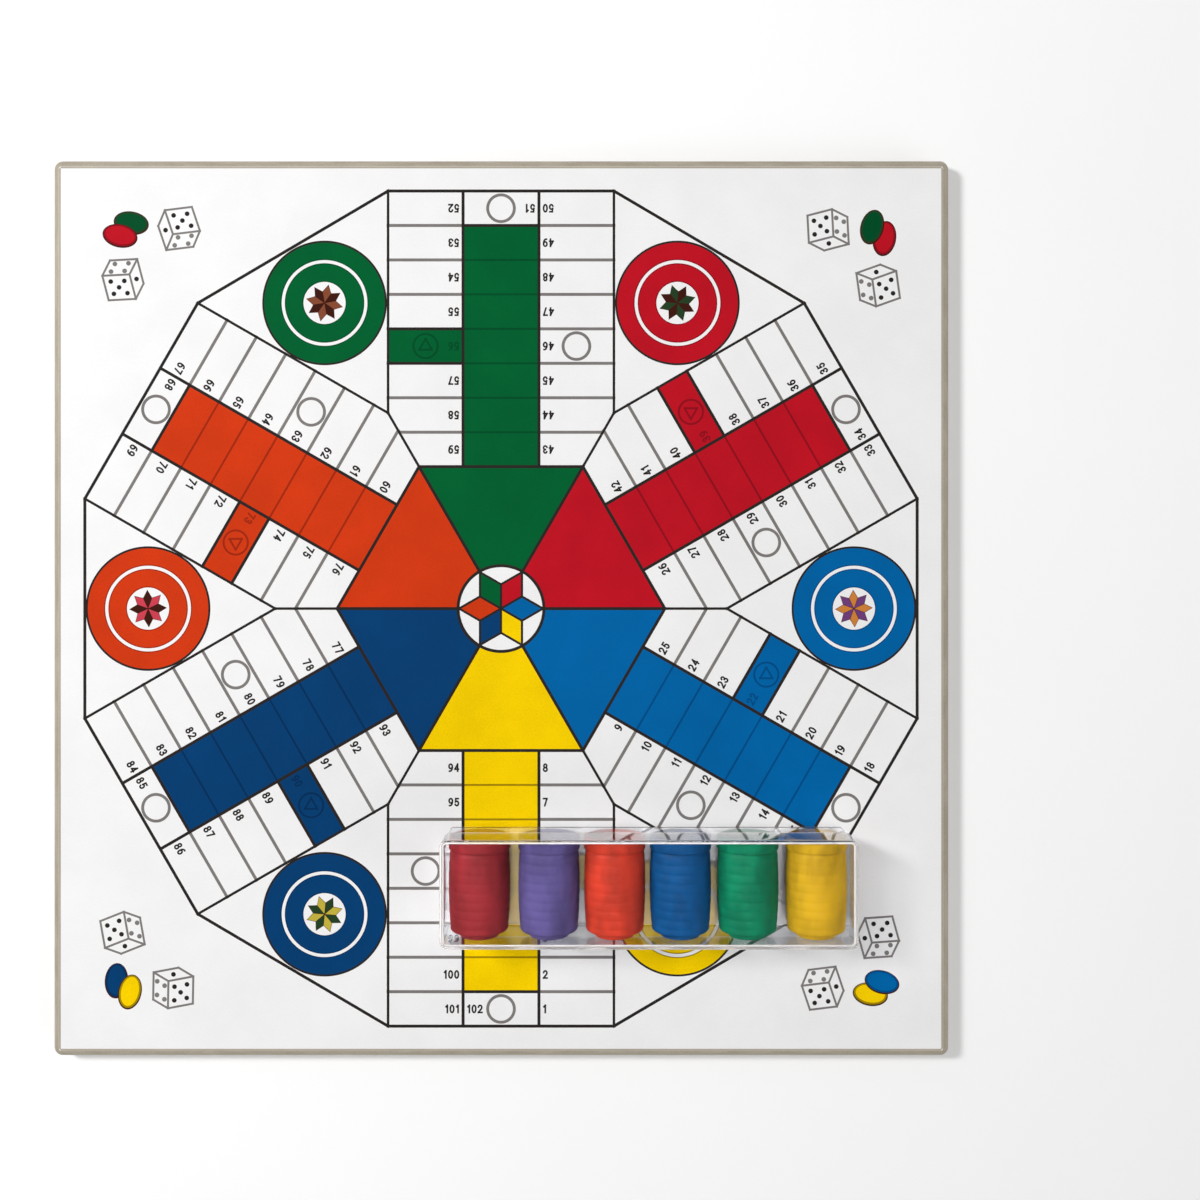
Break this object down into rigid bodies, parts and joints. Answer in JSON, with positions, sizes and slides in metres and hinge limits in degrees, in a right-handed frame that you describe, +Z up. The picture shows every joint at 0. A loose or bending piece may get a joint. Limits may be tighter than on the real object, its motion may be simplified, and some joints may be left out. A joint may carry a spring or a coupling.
{
  "type": "parcheesi board",
  "caption": "Square printed parcheesi board for six players with rounded edges and a second face, carrying a clear lidded case of barrel dice cups that hold counters and dice.",
  "frame": {"origin": "centre of the board's underside", "axes": "+Z up out of the printed track, +Y towards the green arm of the track, +X to the right, with the case towards -Y"},
  "size_m": [0.4, 0.4, 0.039],
  "materials": {
    "board_core": "sealed fibreboard",
    "printed_sheet": "satin laminate",
    "reverse_print": "satin laminate",
    "clear_plastic": "clear polished",
    "die_white": "polished",
    "cup_red": "satin ridged",
    "counter_red": "polished",
    "cup_purple": "satin ridged",
    "counter_purple": "polished",
    "cup_orange": "satin ridged",
    "counter_orange": "polished",
    "cup_blue": "satin ridged",
    "counter_blue": "polished",
    "cup_green": "satin ridged",
    "counter_green": "polished",
    "cup_yellow": "satin ridged",
    "counter_yellow": "polished"
  },
  "bodies": {
    "board": {"board_core": "board_core", "parcheesi_sheet": "printed_sheet", "reverse_sheet": "reverse_print"},
    "tray": {"case_tray": "clear_plastic"},
    "lid": {"case_lid": "clear_plastic"},
    "cup_red": {"dice_cup_red": "cup_red"},
    "contents_red": {"counter_red_1": "counter_red", "counter_red_2": "counter_red", "counter_red_3": "counter_red", "counter_red_4": "counter_red", "die_red": "die_white"},
    "cup_purple": {"dice_cup_purple": "cup_purple"},
    "contents_purple": {"counter_purple_1": "counter_purple", "counter_purple_2": "counter_purple", "counter_purple_3": "counter_purple", "counter_purple_4": "counter_purple", "die_purple": "die_white"},
    "cup_orange": {"dice_cup_orange": "cup_orange"},
    "contents_orange": {"counter_orange_1": "counter_orange", "counter_orange_2": "counter_orange", "counter_orange_3": "counter_orange", "counter_orange_4": "counter_orange", "die_orange": "die_white"},
    "cup_blue": {"dice_cup_blue": "cup_blue"},
    "contents_blue": {"counter_blue_1": "counter_blue", "counter_blue_2": "counter_blue", "counter_blue_3": "counter_blue", "counter_blue_4": "counter_blue", "die_blue": "die_white"},
    "cup_green": {"dice_cup_green": "cup_green"},
    "contents_green": {"counter_green_1": "counter_green", "counter_green_2": "counter_green", "counter_green_3": "counter_green", "counter_green_4": "counter_green", "die_green": "die_white"},
    "cup_yellow": {"dice_cup_yellow": "cup_yellow"},
    "contents_yellow": {"counter_yellow_1": "counter_yellow", "counter_yellow_2": "counter_yellow", "counter_yellow_3": "counter_yellow", "counter_yellow_4": "counter_yellow", "die_yellow": "die_white"}
  },
  "joints": [
    {"name": "case_lift", "type": "slide", "parent": "board", "child": "tray", "axis": [0, 0, 1], "range_m": [0, 0.12]},
    {"name": "lid_lift", "type": "slide", "parent": "tray", "child": "lid", "axis": [0, 0, 1], "range_m": [0, 0.1]},
    {"name": "cup_lift_red", "type": "slide", "parent": "tray", "child": "cup_red", "axis": [0, 0, 1], "range_m": [0, 0.05]},
    {"name": "contents_slide_red", "type": "slide", "parent": "cup_red", "child": "contents_red", "axis": [0, 1, 0], "range_m": [0, 0.0087]},
    {"name": "cup_lift_purple", "type": "slide", "parent": "tray", "child": "cup_purple", "axis": [0, 0, 1], "range_m": [0, 0.05]},
    {"name": "contents_slide_purple", "type": "slide", "parent": "cup_purple", "child": "contents_purple", "axis": [0, 1, 0], "range_m": [0, 0.0087]},
    {"name": "cup_lift_orange", "type": "slide", "parent": "tray", "child": "cup_orange", "axis": [0, 0, 1], "range_m": [0, 0.05]},
    {"name": "contents_slide_orange", "type": "slide", "parent": "cup_orange", "child": "contents_orange", "axis": [0, 1, 0], "range_m": [0, 0.0087]},
    {"name": "cup_lift_blue", "type": "slide", "parent": "tray", "child": "cup_blue", "axis": [0, 0, 1], "range_m": [0, 0.05]},
    {"name": "contents_slide_blue", "type": "slide", "parent": "cup_blue", "child": "contents_blue", "axis": [0, 1, 0], "range_m": [0, 0.0087]},
    {"name": "cup_lift_green", "type": "slide", "parent": "tray", "child": "cup_green", "axis": [0, 0, 1], "range_m": [0, 0.05]},
    {"name": "contents_slide_green", "type": "slide", "parent": "cup_green", "child": "contents_green", "axis": [0, 1, 0], "range_m": [0, 0.0087]},
    {"name": "cup_lift_yellow", "type": "slide", "parent": "tray", "child": "cup_yellow", "axis": [0, 0, 1], "range_m": [0, 0.05]},
    {"name": "contents_slide_yellow", "type": "slide", "parent": "cup_yellow", "child": "contents_yellow", "axis": [0, 1, 0], "range_m": [0, 0.0087]}
  ],
  "couplings": [
    {"joint": "cup_lift_red", "follows": "lid_lift", "ratio": 0.5},
    {"joint": "cup_lift_purple", "follows": "lid_lift", "ratio": 0.5},
    {"joint": "cup_lift_orange", "follows": "lid_lift", "ratio": 0.5},
    {"joint": "cup_lift_blue", "follows": "lid_lift", "ratio": 0.5},
    {"joint": "cup_lift_green", "follows": "lid_lift", "ratio": 0.5},
    {"joint": "cup_lift_yellow", "follows": "lid_lift", "ratio": 0.5}
  ]
}
